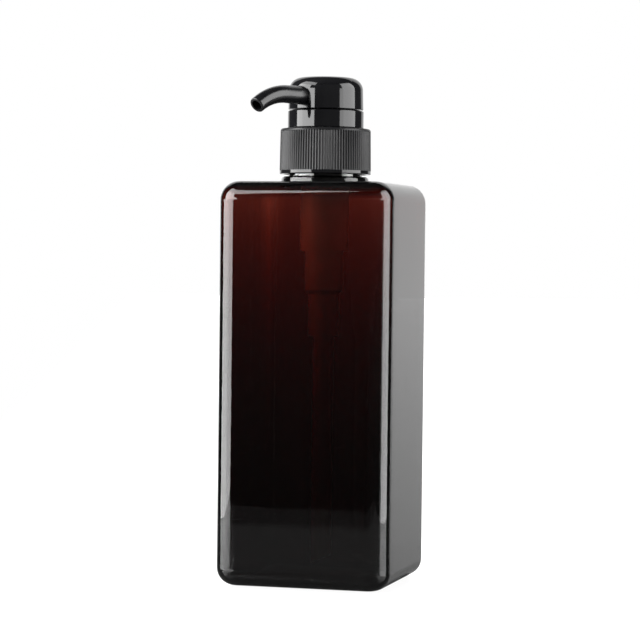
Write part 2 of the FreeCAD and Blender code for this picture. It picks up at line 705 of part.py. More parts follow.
def nozzle_path(label, start):
    """The nozzle's middle line: level out of the boss, then bending down along an arc."""
    sketch = doc.addObject("Sketcher::SketchObject", label)
    sketch.Placement = FreeCAD.Placement(
        FreeCAD.Vector(0, 0, 0), FreeCAD.Rotation(FreeCAD.Vector(1, 0, 0), 90)
    )
    level = size("nozzle_z")
    bend_at = FreeCAD.Vector(size("nozzle_straight"), level, 0)
    centre = FreeCAD.Vector(size("nozzle_straight"), size("nozzle_centre_z"), 0)
    circle = Part.Circle(centre, FreeCAD.Vector(0, 0, 1), size("nozzle_bend"))
    quarter = math.pi / 2
    sketch.addGeometry(Part.LineSegment(FreeCAD.Vector(size(start), level, 0), bend_at))
    sketch.addGeometry(Part.ArcOfCircle(circle, quarter - math.radians(size("nozzle_droop")), quarter))
    sketch.addConstraint(Sketcher.Constraint("Coincident", 0, 2, 1, 2))
    place_point(sketch, 0, 1, (start, "nozzle_z"))
    place_point(sketch, 0, 2, ("nozzle_straight", "nozzle_z"))
    place_point(sketch, 1, 3, ("nozzle_straight", "nozzle_centre_z"))
    index = sketch.addConstraint(Sketcher.Constraint("DistanceX", -1, 1, 1, 1, size("nozzle_tip_x")))
    bind(sketch, "Constraints[%d]" % index, "nozzle_tip_x")
    return sketch


def swept(label, start, root_radius, tip_radius):
    """A tapered round tube along the nozzle's middle line."""
    path = nozzle_path(label + "_path", start)
    root = circle_sketch(label + "_root", root_radius, start, "nozzle_z", "")
    tip = circle_sketch(label + "_tip", tip_radius, "nozzle_tip_x", "nozzle_tip_z", "nozzle_tilt")
    sweep = doc.addObject("Part::Sweep", label)
    sweep.Sections = [root, tip]
    sweep.Spine = (path, ["Edge1", "Edge2"])
    sweep.Solid = True
    sweep.Frenet = False
    doc.recompute()
    return sweep


def make_actuator():
    """Pump head in one moulding: crowned hollow dome, boss round the stem and bent hollow nozzle."""
    dome = new_body("actuator_dome")
    sketch = new_sketch(dome, "XZ_Plane")
    corners = [
        ("", "dome_top_z"), ("", "stem_socket_top_z"), ("stem_socket", "stem_socket_top_z"),
        ("stem_socket", "boss_z"), ("boss_radius", "boss_z"), ("boss_radius", "dome_z"),
        ("dome_radius", "dome_z"), ("dome_top_radius", "dome_edge_z"),
    ]
    points = [FreeCAD.Vector(size(x), size(y), 0) for x, y in corners]
    last = len(points) - 1
    for i in range(last):
        sketch.addGeometry(Part.LineSegment(points[i], points[i + 1]))
    sink = points[0].y - points[last].y
    crown_radius = (points[last].x ** 2 + sink ** 2) / (2 * sink)
    crown_centre = FreeCAD.Vector(0, points[0].y - crown_radius, 0)
    crown = Part.Circle(crown_centre, FreeCAD.Vector(0, 0, 1), crown_radius)
    edge_angle = math.asin(points[last].x / crown_radius)
    sketch.addGeometry(Part.ArcOfCircle(crown, math.pi / 2 - edge_angle, math.pi / 2))
    for i in range(last - 1):
        sketch.addConstraint(Sketcher.Constraint("Coincident", i, 2, i + 1, 1))
    sketch.addConstraint(Sketcher.Constraint("Coincident", last - 1, 2, last, 1))
    sketch.addConstraint(Sketcher.Constraint("Coincident", last, 2, 0, 1))
    for i in range(last):
        place_point(sketch, i, 1, corners[i])
    place_point(sketch, last - 1, 2, corners[last])
    sketch.addConstraint(Sketcher.Constraint("PointOnObject", last, 3, -2))
    turn = dome.newObject("PartDesign::Revolution", "actuator_turn")
    turn.Profile = sketch
    turn.ReferenceAxis = (sketch, ["V_Axis"])
    turn.Angle = 360
    doc.recompute()
    rounded(dome, turn, "dome_round", at_height(size("dome_edge_z"), size("dome_top_radius")))
    hollow = turned(dome, [
        ("boss_radius", "dome_z"), ("dome_inside", "dome_z"),
        ("dome_inside", "dome_roof_z"), ("boss_radius", "dome_roof_z"),
    ], "PartDesign::Groove")
    bevelled(dome, hollow, "dome_inside_bevel", at_height(size("dome_roof_z"), size("dome_inside")))
    turned(dome, [
        ("", "stem_socket_top_z"), ("stem_bore", "stem_socket_top_z"),
        ("stem_bore", "channel_top_z"), ("", "channel_top_z"),
    ], "PartDesign::Groove")
    joined = doc.addObject("Part::Fuse", "actuator_solid")
    joined.Base = dome
    joined.Tool = swept("nozzle_outside", "nozzle_start", "nozzle_root_radius", "nozzle_tip_radius")
    actuator = doc.addObject("Part::Cut", "actuator")
    actuator.Base = joined
    actuator.Tool = swept("nozzle_inside", "", "nozzle_bore", "nozzle_bore")
    actuator.Placement = FreeCAD.Placement(
        FreeCAD.Vector(0, 0, 0), FreeCAD.Rotation(FreeCAD.Vector(0, 0, 1), size("nozzle_heading"))
    )
    bind(actuator, "Placement.Rotation.Angle", "nozzle_heading")
    return actuator


pieces = [
    make_bottle(),
    make_closure(),
    make_gasket(),
    make_housing(),
    make_lock_ring(),
    make_dip_tube(),
    make_ball_cage(),
    make_ball("inlet_ball", "inlet_ball_radius", "inlet_ball_z"),
    make_ball("outlet_ball", "outlet_ball_radius", "outlet_ball_z"),
    make_stem(),
    make_stem_plug(),
    make_piston(),
    make_spring(),
    make_actuator(),
]
doc.recompute()

os.makedirs("parts", exist_ok=True)
for thing in doc.Objects:
    if "Invalid" in thing.State or "Error" in thing.State:
        raise RuntimeError("%s did not build" % thing.Label)
for piece in pieces:
    if piece.Shape.isNull() or not piece.Shape.isValid():
        raise RuntimeError("%s is not a valid solid" % piece.Label)
    if len(piece.Shape.Solids) != 1:
        raise RuntimeError("%s has %d solids" % (piece.Label, len(piece.Shape.Solids)))
    piece.Shape.exportStep("parts/%s.step" % piece.Label)
    print("%s: %.0f cubic mm" % (piece.Label, piece.Shape.Volume))
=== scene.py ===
import math

import bmesh
import bpy
from mathutils import Matrix, Vector


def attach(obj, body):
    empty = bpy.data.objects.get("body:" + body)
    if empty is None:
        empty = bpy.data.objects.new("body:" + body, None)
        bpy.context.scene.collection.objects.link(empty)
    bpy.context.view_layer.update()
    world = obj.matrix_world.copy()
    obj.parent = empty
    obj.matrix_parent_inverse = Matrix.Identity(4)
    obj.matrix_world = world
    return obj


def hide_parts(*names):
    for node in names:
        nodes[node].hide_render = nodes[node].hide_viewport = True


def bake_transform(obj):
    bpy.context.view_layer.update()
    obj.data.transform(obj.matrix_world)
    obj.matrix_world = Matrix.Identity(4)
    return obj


# Square amber pump bottle with its head locked down, on a white studio table.
# The bottle and pump are written in millimetres, the studio and camera in metres.

MM = 0.001
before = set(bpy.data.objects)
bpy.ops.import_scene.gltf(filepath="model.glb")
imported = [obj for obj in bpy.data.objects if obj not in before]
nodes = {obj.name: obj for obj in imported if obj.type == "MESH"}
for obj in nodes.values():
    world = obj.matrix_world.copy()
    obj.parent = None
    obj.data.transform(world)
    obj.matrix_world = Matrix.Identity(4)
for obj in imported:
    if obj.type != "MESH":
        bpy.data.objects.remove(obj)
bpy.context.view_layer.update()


# Outlines


def arc(centre, radius, start, end, steps):
    """Points of an arc in a plane, angles in degrees."""
    points = []
    for i in range(steps + 1):
        angle = math.radians(start + (end - start) * i / steps)
        points.append((centre[0] + radius * math.cos(angle), centre[1] + radius * math.sin(angle)))
    return points


def rounded_square(half, radius, z, corner_steps=14, side_steps=6):
    """A level loop of points round a square with rounded corners."""
    middle = half - radius
    quarter = arc((middle, middle), radius, 0, 90, corner_steps)
    quarter += [(middle - 2 * middle * i / side_steps, half) for i in range(1, side_steps)]
    points = []
    for turns in range(4):
        turn = math.radians(90 * turns)
        for x, y in quarter:
            across = x * math.cos(turn) - y * math.sin(turn)
            along = x * math.sin(turn) + y * math.cos(turn)
            points.append((across, along, z))
    return points


def circle(radius, z, count):
    """A level loop of points round the upright axis."""
    points = []
    for i in range(count):
        angle = 2 * math.pi * i / count
        points.append((radius * math.cos(angle), radius * math.sin(angle), z))
    return points


# Meshes

WELD = 0.0005
ROUND_STEPS = 144


def finish_mesh(name, bm, sharp=35, even_normals=True):
    """Turns a bmesh in millimetres into an object in metres, smooth but for edges over an angle."""
    bmesh.ops.remove_doubles(bm, verts=bm.verts, dist=WELD)
    bmesh.ops.recalc_face_normals(bm, faces=bm.faces)
    bmesh.ops.scale(bm, vec=(MM, MM, MM), verts=bm.verts)
    mesh = bpy.data.meshes.new(name)
    bm.to_mesh(mesh)
    bm.free()
    mesh.shade_smooth()
    mesh.set_sharp_from_angle(angle=math.radians(sharp))
    obj = bpy.data.objects.new(name, mesh)
    bpy.context.scene.collection.objects.link(obj)
    if even_normals:
        weights = obj.modifiers.new("even_normals", "WEIGHTED_NORMAL")
        weights.keep_sharp = True
    return obj


def skin(loops, closed_ends=False):
    """A new bmesh that joins a stack of loops of equal length with quads."""
    bm = bmesh.new()
    rings = [[bm.verts.new(p) for p in loop] for loop in loops]
    count = len(rings[0])
    for low, high in zip(rings, rings[1:]):
        for i in range(count):
            j = (i + 1) % count
            bm.faces.new((low[i], low[j], high[j], high[i]))
    if closed_ends:
        bm.faces.new(rings[0])
        bm.faces.new(rings[-1])
    return bm


def turned(name, section):
    """A solid turned about the upright axis from a half section, closed or ending on the axis."""
    return finish_mesh(name, skin([circle(r, z, ROUND_STEPS) for r, z in section]))


# Bottle

BODY_HALF = 35.0
BODY_HEIGHT = 158.4
CORNER = 9.2
CORNER_INSIDE = 8.1
SHOULDER = 7.4
SHOULDER_INSIDE = 6.0
ROOF = 1.4
FOOT = 6.9
FLOOR = 1.8
WALL_HIGH = 0.65
WALL_LOW = 1.75
WALL_BOW = 1.6
CAVITY_SHIFT = (-0.06, -0.25)
BEAD_RADIUS = 17.4
BEAD_TOP = 160.9
BEAD_ROUND = 1.1
NECK_RADIUS = 14.8
NECK_BORE = 12.8
RIM = 175.5
RIM_ROUND = 0.5


def block_loops(half, corner, foot, shoulder, low, high, steps=10, side_loops=9):
    """Loops up a square block with a rounded foot and shoulder. half is a function of height."""
    loops = []
    for i in range(steps + 1):
        angle = math.radians(90 * i / steps)
        inset = foot * (1 - math.sin(angle))
        z = low + foot * (1 - math.cos(angle))
        loops.append(rounded_square(half(z) - inset, corner - inset, z))
    side_low = low + foot
    side_high = high - shoulder
    for i in range(1, side_loops + 1):
        z = side_low + (side_high - side_low) * i / (side_loops + 1)
        loops.append(rounded_square(half(z), corner, z))
    for i in range(steps + 1):
        angle = math.radians(90 * i / steps)
        inset = shoulder * (1 - math.cos(angle))
        z = high - shoulder * (1 - math.sin(angle))
        loops.append(rounded_square(half(z) - inset, corner - inset, z))
    return loops


def wall(z):
    """The blown wall is thinner towards the shoulder."""
    return WALL_LOW + (WALL_HIGH - WALL_LOW) * (z / BODY_HEIGHT) ** WALL_BOW


def on_circle(loop, radius, z):
    """The points of a loop drawn in or out onto a circle."""
    return [(radius * x / math.hypot(x, y), radius * y / math.hypot(x, y), z) for x, y, _ in loop]


def make_bottle():
    """Blown shell: up the outside, over the bead and the neck's rim, and down the cavity."""
    roof = BODY_HEIGHT - ROOF
    outside = block_loops(lambda z: BODY_HALF, CORNER, FOOT, SHOULDER, 0.0, BODY_HEIGHT)
    cavity = block_loops(
        lambda z: BODY_HALF - wall(z), CORNER_INSIDE, FOOT - WALL_LOW, SHOULDER_INSIDE, FLOOR, roof
    )
    shift_x, shift_y = CAVITY_SHIFT
    inside = [[(x + shift_x, y + shift_y, z) for x, y, z in loop] for loop in cavity]
    neck = [(BEAD_RADIUS, BODY_HEIGHT)]
    neck += arc((BEAD_RADIUS - BEAD_ROUND, BEAD_TOP - BEAD_ROUND), BEAD_ROUND, 0, 90, steps=6)
    neck += [(NECK_RADIUS, BEAD_TOP), (NECK_RADIUS, RIM - RIM_ROUND)]
    neck += arc((NECK_RADIUS - RIM_ROUND, RIM - RIM_ROUND), RIM_ROUND, 0, 90, steps=4)
    neck += arc((NECK_BORE + RIM_ROUND, RIM - RIM_ROUND), RIM_ROUND, 90, 180, steps=4)
    neck += [(NECK_BORE, roof)]
    loops = outside + [on_circle(outside[-1], r, z) for r, z in neck] + inside[::-1]
    return finish_mesh("bottle_shell", skin(loops, closed_ends=True))


THREAD_LEAD = 4.233
THREAD_TURNS = 1.6
THREAD_START = 164.6
THREAD_REACH = 1.3
THREAD_ROOT_SINK = 0.3
THREAD_ROOT_HALF = 0.9
THREAD_CREST_SINK = 0.1
THREAD_CREST_HALF = 0.35
THREAD_STEPS = 72
THREAD_FADE_STEPS = 10


def make_neck_thread():
    """A raised helical rib round the neck that fades out at both ends."""
    count = int(THREAD_STEPS * THREAD_TURNS)
    root = NECK_RADIUS - THREAD_ROOT_SINK
    loops = []
    for i in range(count + 1):
        angle = 2 * math.pi * i / THREAD_STEPS
        z = THREAD_START + THREAD_LEAD * i / THREAD_STEPS
        fade = min(1.0, i / THREAD_FADE_STEPS, (count - i) / THREAD_FADE_STEPS)
        crest = NECK_RADIUS - THREAD_CREST_SINK + THREAD_REACH * fade
        section = [
            (root, z - THREAD_ROOT_HALF), (crest, z - THREAD_CREST_HALF),
            (crest, z + THREAD_CREST_HALF), (root, z + THREAD_ROOT_HALF),
        ]
        loops.append([(r * math.cos(angle), r * math.sin(angle), h) for r, h in section])
    return finish_mesh("neck_thread", skin(loops, closed_ends=True), sharp=50)


# Closure

CLOSURE_LOW = 161.9
CLOSURE_TOP = 180.0
CLOSURE_LOW_RADIUS = 18.2
CLOSURE_TOP_RADIUS = 17.95
CLOSURE_BORE = 16.5
CLOSURE_HOLE = 10.7
CLOSURE_ROOF = 1.6
CLOSURE_ROUND = 0.9
BAND_EDGE = 0.25
RIB_COUNT = 100
RIB_DEPTH = 0.33
RIB_LOW = 163.3
RIB_HIGH = 179.0
RIB_FADE = 0.35
RIB_DIP = (0.05, 0.25, 0.5, 0.75, 0.95, 0.75, 0.5, 0.25)


def closure_radius(z):
    """The closure's outside draws in slightly towards its top."""
    share = (z - CLOSURE_LOW) / (CLOSURE_TOP - CLOSURE_LOW)
    return CLOSURE_LOW_RADIUS + (CLOSURE_TOP_RADIUS - CLOSURE_LOW_RADIUS) * share


def ribbed_loop(radius, z, ribbed):
    """A circle drawn in between the ribs, by a share of their depth."""
    count = RIB_COUNT * len(RIB_DIP)
    points = []
    for i in range(count):
        angle = 2 * math.pi * i / count
        r = radius - RIB_DEPTH * ribbed * RIB_DIP[i % len(RIB_DIP)]
        points.append((r * math.cos(angle), r * math.sin(angle), z))
    return points


def make_closure():
    """Screw collar with its ribs and roof, above the plain band."""
    low = closure_radius(RIB_LOW)
    high = closure_radius(RIB_HIGH)
    roof = CLOSURE_TOP - CLOSURE_ROOF
    section = [(CLOSURE_BORE, RIB_LOW, 0), (low, RIB_LOW, 0), (low, RIB_LOW + RIB_FADE, 1)]
    section += [(high, RIB_HIGH - RIB_FADE, 1), (high, RIB_HIGH, 0)]
    shoulder = (CLOSURE_TOP_RADIUS - CLOSURE_ROUND, CLOSURE_TOP - CLOSURE_ROUND)
    section += [(r, z, 0) for r, z in arc(shoulder, CLOSURE_ROUND, 0, 90, steps=8)]
    section += [(CLOSURE_HOLE, CLOSURE_TOP, 0), (CLOSURE_HOLE, roof, 0), (CLOSURE_BORE, roof, 0)]
    loops = [ribbed_loop(*row) for row in section + section[:1]]
    return finish_mesh("closure_collar", skin(loops), sharp=40)


def make_closure_band():
    """The plain polished band under the ribs."""
    edge = CLOSURE_LOW + BAND_EDGE
    section = [(CLOSURE_BORE, CLOSURE_LOW), (CLOSURE_LOW_RADIUS - BAND_EDGE, CLOSURE_LOW)]
    section += [(closure_radius(edge), edge), (closure_radius(RIB_LOW), RIB_LOW)]
    section += [(CLOSURE_BORE, RIB_LOW)]
    return turned("closure_band", section + section[:1])


# Lock ring

RING_LOW = 180.3
RING_TOP = 187.1
RING_RADIUS = 15.1
RING_EDGE = 0.2
RING_ROUND = 0.45
RING_INSIDE = 13.7
RING_ROOF = 185.5
RING_CLIP = 11.5
RING_CLIP_BORE = 10.3
RING_TUBE = 8.3
RING_BORE = 6.9
RING_END = 168.0
GUIDE_TOP = 169.6
GUIDE_BORE = 4.75


def make_lock_ring():
    """Smooth ring over the closure, with an inner skirt and the stem's guide."""
    section = [(GUIDE_BORE, RING_END), (RING_TUBE, RING_END), (RING_TUBE, RING_ROOF)]
    section += [(RING_CLIP_BORE, RING_ROOF), (RING_CLIP_BORE, RING_LOW), (RING_CLIP, RING_LOW)]
    section += [(RING_CLIP, RING_ROOF), (RING_INSIDE, RING_ROOF), (RING_INSIDE, RING_LOW)]
    section += arc((RING_RADIUS - RING_EDGE, RING_LOW + RING_EDGE), RING_EDGE, -90, 0, steps=3)
    section += arc((RING_RADIUS - RING_ROUND, RING_TOP - RING_ROUND), RING_ROUND, 0, 90, steps=5)
    section += [(RING_BORE, RING_TOP), (RING_BORE, GUIDE_TOP), (GUIDE_BORE, GUIDE_TOP)]
    return turned("lock_collar", section + section[:1])


# Pump head

DOME_LOW = 187.5
DOME_RADIUS = 14.95
DOME_EDGE = 0.25
DOME_TOP_RADIUS = 14.75
DOME_TOP = 200.6
DOME_ROUND = 5.0
DOME_SINK = 0.7
DOME_WALL = 1.5
CROWN_STEPS = 8
BOSS_RADIUS = 6.6
BOSS_LOW = 176.0
STEM_SOCKET = 4.65
STEM_SOCKET_TOP = 190.0


def crown_section():
    """The dome's outline from the rim to the middle of its top: wall, round edge and flat crown."""
    edge_radius = DOME_TOP_RADIUS - DOME_ROUND
    crown = (DOME_TOP_RADIUS ** 2 + DOME_SINK ** 2) / (2 * DOME_SINK)
    crown_centre = DOME_TOP - crown
    round_z = crown_centre + math.sqrt((crown - DOME_ROUND) ** 2 - edge_radius ** 2)
    lean = math.degrees(math.atan2(edge_radius, round_z - crown_centre))
    section = [(DOME_RADIUS - DOME_EDGE, DOME_LOW), (DOME_RADIUS, DOME_LOW + DOME_EDGE)]
    section += arc((edge_radius, round_z), DOME_ROUND, 0, 90 - lean, steps=14)
    for i in range(1, CROWN_STEPS + 1):
        angle = math.radians(lean * (1 - i / CROWN_STEPS))
        section.append((crown * math.sin(angle), crown_centre + crown * math.cos(angle)))
    return section


def make_dome():
    """Hollow dome with the boss that goes round the stem."""
    roof = DOME_TOP - DOME_SINK - DOME_WALL
    inner_round = DOME_ROUND - DOME_WALL
    inner_radius = DOME_TOP_RADIUS - DOME_WALL
    section = [(0.0, STEM_SOCKET_TOP), (STEM_SOCKET, STEM_SOCKET_TOP), (STEM_SOCKET, BOSS_LOW)]
    section += [(BOSS_RADIUS, BOSS_LOW), (BOSS_RADIUS, roof)]
    section += arc((inner_radius - inner_round, roof - inner_round), inner_round, 90, 0, steps=8)
    section += [(DOME_RADIUS - DOME_WALL, DOME_LOW)]
    return turned("head_dome", section + crown_section())


NOZZLE_LEVEL = 192.6
NOZZLE_START = 10.0
NOZZLE_CLEAR = DOME_RADIUS + 1
NOZZLE_STRAIGHT = 23.3
NOZZLE_BEND = 29.2
NOZZLE_DROOP = 35.0
NOZZLE_ROOT_RADIUS = 3.8
NOZZLE_TIP_RADIUS = 3.12
NOZZLE_LIP = 0.35
NOZZLE_BORE = 2.1
NOZZLE_HEADING = math.radians(243.4)
NOZZLE_STEPS = 20
NOZZLE_ROUND_STEPS = 48
LIP_STEPS = 4


def nozzle_frames():
    """Points and droops along the nozzle's middle line, in the upright plane it lies in."""
    frames = [(out, NOZZLE_LEVEL, 0.0) for out in (NOZZLE_START, NOZZLE_CLEAR, NOZZLE_STRAIGHT)]
    for i in range(1, NOZZLE_STEPS + 1):
        angle = math.radians(NOZZLE_DROOP * i / NOZZLE_STEPS)
        out = NOZZLE_STRAIGHT + NOZZLE_BEND * math.sin(angle)
        frames.append((out, NOZZLE_LEVEL - NOZZLE_BEND * (1 - math.cos(angle)), angle))
    return frames


def nozzle_loop(out, z, droop, radius):
    """A circle across the nozzle, turned to the nozzle's heading."""
    loop = []
    for i in range(NOZZLE_ROUND_STEPS):
        angle = 2 * math.pi * i / NOZZLE_ROUND_STEPS
        side = radius * math.cos(angle)
        rise = radius * math.sin(angle)
        along = out + rise * math.sin(droop)
        x = along * math.cos(NOZZLE_HEADING) - side * math.sin(NOZZLE_HEADING)
        y = along * math.sin(NOZZLE_HEADING) + side * math.cos(NOZZLE_HEADING)
        loop.append((x, y, z + rise * math.cos(droop)))
    return loop


def make_nozzle():
    """Bent tapering spout with a round lip, bored as far as its bend goes."""
    frames = nozzle_frames()
    length = NOZZLE_STRAIGHT - NOZZLE_START + NOZZLE_BEND * math.radians(NOZZLE_DROOP)
    loops = []
    travelled = 0.0
    last_out, last_z, _ = frames[0]
    for out, z, droop in frames[:-1]:
        travelled += math.hypot(out - last_out, z - last_z)
        share = travelled / length
        radius = NOZZLE_ROOT_RADIUS + (NOZZLE_TIP_RADIUS - NOZZLE_ROOT_RADIUS) * share
        loops.append(nozzle_loop(out, z, droop, radius))
        last_out, last_z = out, z
    out, z, droop = frames[-1]
    for i in range(LIP_STEPS + 1):
        angle = math.radians(90 * i / LIP_STEPS)
        back = NOZZLE_LIP * (1 - math.sin(angle))
        radius = NOZZLE_TIP_RADIUS - NOZZLE_LIP * (1 - math.cos(angle))
        lip_out = out - back * math.cos(droop)
        lip_z = z + back * math.sin(droop)
        loops.append(nozzle_loop(lip_out, lip_z, droop, radius))
    bend = frames[2:]
    loops += [nozzle_loop(*point, NOZZLE_BORE) for point in bend[::-1]]
    return finish_mesh("head_nozzle", skin(loops, closed_ends=True))


# Return spring

SPRING_RADIUS = 5.2
SPRING_WIRE = 0.65
SPRING_TURNS = 4
SPRING_FOOT = 118.8
SPRING_HEAD = 133.35
SPRING_STEPS = 40
WIRE_STEPS = 12


def make_spring():
    """Wire helix between the ball cage and the stem's plug."""
    count = SPRING_STEPS * SPRING_TURNS
    rise = (SPRING_HEAD - SPRING_FOOT) / count
    step = 2 * math.pi * SPRING_RADIUS / SPRING_STEPS
    loops = []
    for i in range(count + 1):
        angle = 2 * math.pi * i / SPRING_STEPS
        out = Vector((math.cos(angle), math.sin(angle), 0.0))
        middle = out * SPRING_RADIUS + Vector((0.0, 0.0, SPRING_FOOT + rise * i))
        along = Vector((-step * math.sin(angle), step * math.cos(angle), rise)).normalized()
        up = out.cross(along)
        loop = []
        for k in range(WIRE_STEPS):
            turn = 2 * math.pi * k / WIRE_STEPS
            loop.append(middle + (out * math.cos(turn) + up * math.sin(turn)) * SPRING_WIRE)
        loops.append(loop)
    return finish_mesh("spring_coil", skin(loops, closed_ends=True), even_normals=False)


# Materials

WHITE = (1.0, 1.0, 1.0)
NOISE_SPAN = (0.3, 0.7)
NOISE_DETAIL = 2.0
DRIFT_SIZE = 9.0


def math_node(tree, operation, first, second):
    """The output of an operation on two values, each a socket or a number."""
    node = tree.nodes.new("ShaderNodeMath")
    node.operation = operation
    for value, socket in zip((first, second), node.inputs):
        if isinstance(value, float):
            socket.default_value = value
        else:
            tree.links.new(value, socket)
    return node.outputs[0]


def map_range(tree, value, source, target):
    """The output of a straight change from one range of values to another, level outside it."""
    node = tree.nodes.new("ShaderNodeMapRange")
    node.inputs["From Min"].default_value, node.inputs["From Max"].default_value = source
    node.inputs["To Min"].default_value, node.inputs["To Max"].default_value = target
    tree.links.new(value, node.inputs["Value"])
    return node.outputs["Result"]


def grain(tree, size, stretch=1.0):
    """A value that wanders, with marks of a size in millimetres that may be longer upwards."""
    place_on = tree.nodes.new("ShaderNodeTexCoord")
    scaled = tree.nodes.new("ShaderNodeMapping")
    marks = 1 / (size * MM)
    scaled.inputs["Scale"].default_value = (marks, marks, marks / stretch)
    tree.links.new(place_on.outputs["Object"], scaled.inputs["Vector"])
    noise = tree.nodes.new("ShaderNodeTexNoise")
    noise.inputs["Scale"].default_value = 1.0
    noise.inputs["Detail"].default_value = NOISE_DETAIL
    tree.links.new(scaled.outputs["Vector"], noise.inputs["Vector"])
    return noise.outputs["Fac"]


def plain(name, colour, roughness, ior=1.5):
    """A material with one colour and gloss, which the other kinds start from."""
    material = bpy.data.materials.new(name)
    material.use_nodes = True
    shader = material.node_tree.nodes["Principled BSDF"]
    shader.inputs["Base Color"].default_value = (*colour, 1.0)
    shader.inputs["Roughness"].default_value = roughness
    shader.inputs["IOR"].default_value = ior
    return material


def drift(material, colours, roughness, stretch):
    """Lets the colour and the gloss of a material wander between two values each."""
    tree = material.node_tree
    shader = tree.nodes["Principled BSDF"]
    wander = grain(tree, DRIFT_SIZE, stretch)
    ramp = tree.nodes.new("ShaderNodeValToRGB")
    for stop, position, colour in zip(ramp.color_ramp.elements, NOISE_SPAN, colours):
        stop.position = position
        stop.color = (*colour, 1.0)
    tree.links.new(wander, ramp.inputs["Fac"])
    tree.links.new(ramp.outputs["Color"], shader.inputs["Base Color"])
    tree.links.new(map_range(tree, wander, NOISE_SPAN, roughness), shader.inputs["Roughness"])


def relief(material, size, depth, stretch=1.0):
    """Gives a surface a shallow relief, with the size of its marks and its depth in millimetres."""
    tree = material.node_tree
    bump = tree.nodes.new("ShaderNodeBump")
    bump.inputs["Distance"].default_value = depth * MM
    tree.links.new(grain(tree, size, stretch), bump.inputs["Height"])
    tree.links.new(bump.outputs["Normal"], tree.nodes["Principled BSDF"].inputs["Normal"])


def moulded(name, colours, roughness, grain_size, grain_depth, ior=1.5, stretch=1.0):
    """Moulded plastic: colour and gloss drift a little, and the surface has a fine grain."""
    material = plain(name, colours[0], roughness[0], ior)
    drift(material, colours, roughness, stretch)
    relief(material, grain_size, grain_depth, stretch)
    return material


def clear(name, colour, roughness, ior):
    """See-through plastic or glass."""
    material = plain(name, colour, roughness, ior)
    material.node_tree.nodes["Principled BSDF"].inputs["Transmission Weight"].default_value = 1.0
    return material


def absorbing(material, colour, density):
    """Lets a clear material take up light with depth."""
    tree = material.node_tree
    depth = tree.nodes.new("ShaderNodeVolumeAbsorption")
    depth.inputs["Color"].default_value = (*colour, 1.0)
    depth.inputs["Density"].default_value = density
    tree.links.new(depth.outputs["Volume"], tree.nodes["Material Output"].inputs["Volume"])


def paint(obj, material):
    """Gives an object one material."""
    obj.data.materials.clear()
    obj.data.materials.append(material)


amber = clear("amber", WHITE, 0.02, ior=1.57)
absorbing(amber, (0.55, 0.15, 0.02), density=4200.0)
relief(amber, size=16.0, depth=0.03)
black_gloss = moulded(
    "black_gloss", ((0.006, 0.006, 0.007), (0.008, 0.008, 0.009)), (0.045, 0.075),
    grain_size=2.5, grain_depth=0.004,
)
black_satin = moulded(
    "black_satin", ((0.009, 0.009, 0.01), (0.015, 0.015, 0.016)), (0.33, 0.43),
    grain_size=0.3, grain_depth=0.006, ior=1.39,
)
black_soft = moulded(
    "black_soft", ((0.006, 0.006, 0.007), (0.01, 0.01, 0.011)), (0.19, 0.25),
    grain_size=0.8, grain_depth=0.004, ior=1.48,
)
natural = moulded(
    "natural", ((0.76, 0.75, 0.7), (0.84, 0.83, 0.8)), (0.34, 0.46),
    grain_size=0.8, grain_depth=0.01,
)
tube = moulded(
    "tube", ((0.81, 0.81, 0.77), (0.87, 0.87, 0.85)), (0.28, 0.42),
    grain_size=0.7, grain_depth=0.01, stretch=12.0,
)
foam = moulded(
    "foam", ((0.78, 0.78, 0.74), (0.9, 0.9, 0.88)), (0.6, 0.8),
    grain_size=0.35, grain_depth=0.08,
)
glass = clear("ball_glass", (0.95, 0.98, 0.97), 0.0, ior=1.52)
relief(glass, size=2.0, depth=0.004)
wire = moulded(
    "spring_wire", ((0.52, 0.52, 0.54), (0.66, 0.66, 0.68)), (0.18, 0.34),
    grain_size=0.4, grain_depth=0.004,
)
wire.node_tree.nodes["Principled BSDF"].inputs["Metallic"].default_value = 1.0


# Pieces on their bodies


def place(obj, body, material, slot, *replaced):
    """Paints a piece, sets it on its body and hides the parts that it stands for."""
    paint(obj, material)
    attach(obj, body)
    if replaced:
        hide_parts(*replaced)


place(make_bottle(), "bottle_body", amber, "amber_plastic", "bottle")
place(make_neck_thread(), "bottle_body", amber, "amber_plastic")
place(make_closure(), "closure_body", black_satin, "closure_black", "closure")
place(make_closure_band(), "closure_body", black_gloss, "gloss_black")
place(make_lock_ring(), "pump_body", black_gloss, "gloss_black", "lock_ring")
place(make_dome(), "head_body", black_gloss, "gloss_black", "actuator")
place(make_nozzle(), "head_body", black_soft, "gloss_black")

coil = make_spring()
paint(coil, wire)
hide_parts("spring")
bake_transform(coil)

for node, material in {
    "gasket": foam, "housing": natural, "dip_tube": tube, "ball_cage": natural, "inlet_ball": glass,
    "outlet_ball": glass, "stem": natural, "stem_plug": natural, "piston": tube,
}.items():
    paint(nodes[node], material)


# Studio table

TABLE_COLOUR = (0.1, 0.1, 0.1)
TABLE_ROUGHNESS = 0.12
TABLE_IOR = 1.38
TABLE_GLOW = 0.94
# Painted light on the table, seen only in mirrors and through the bottle: a faint glowing strip in
# front and a glow that grows behind.
TABLE_GLOW_FRONT = 0.12
TABLE_FRONT_RISES = (-0.265, -0.24)
TABLE_FRONT_FALLS = (-0.1, 0.02)
TABLE_GLOW_FAR = 0.42
TABLE_GLOW_HALF_DISTANCE = 2.5
TABLE_FRONT = -0.335
TABLE_SIDE = 0.285
TABLE_FLARE_FROM = 0.25
TABLE_FLARE_SIDE = 2.6
TABLE_BACK = 7.0


def seen_rays(tree, *kinds):
    """A socket that is 1 for the given kinds of ray and 0 for the rest."""
    path = tree.nodes.new("ShaderNodeLightPath")
    socket = path.outputs[kinds[0]]
    for kind in kinds[1:]:
        socket = math_node(tree, "MAXIMUM", socket, path.outputs[kind])
    return socket


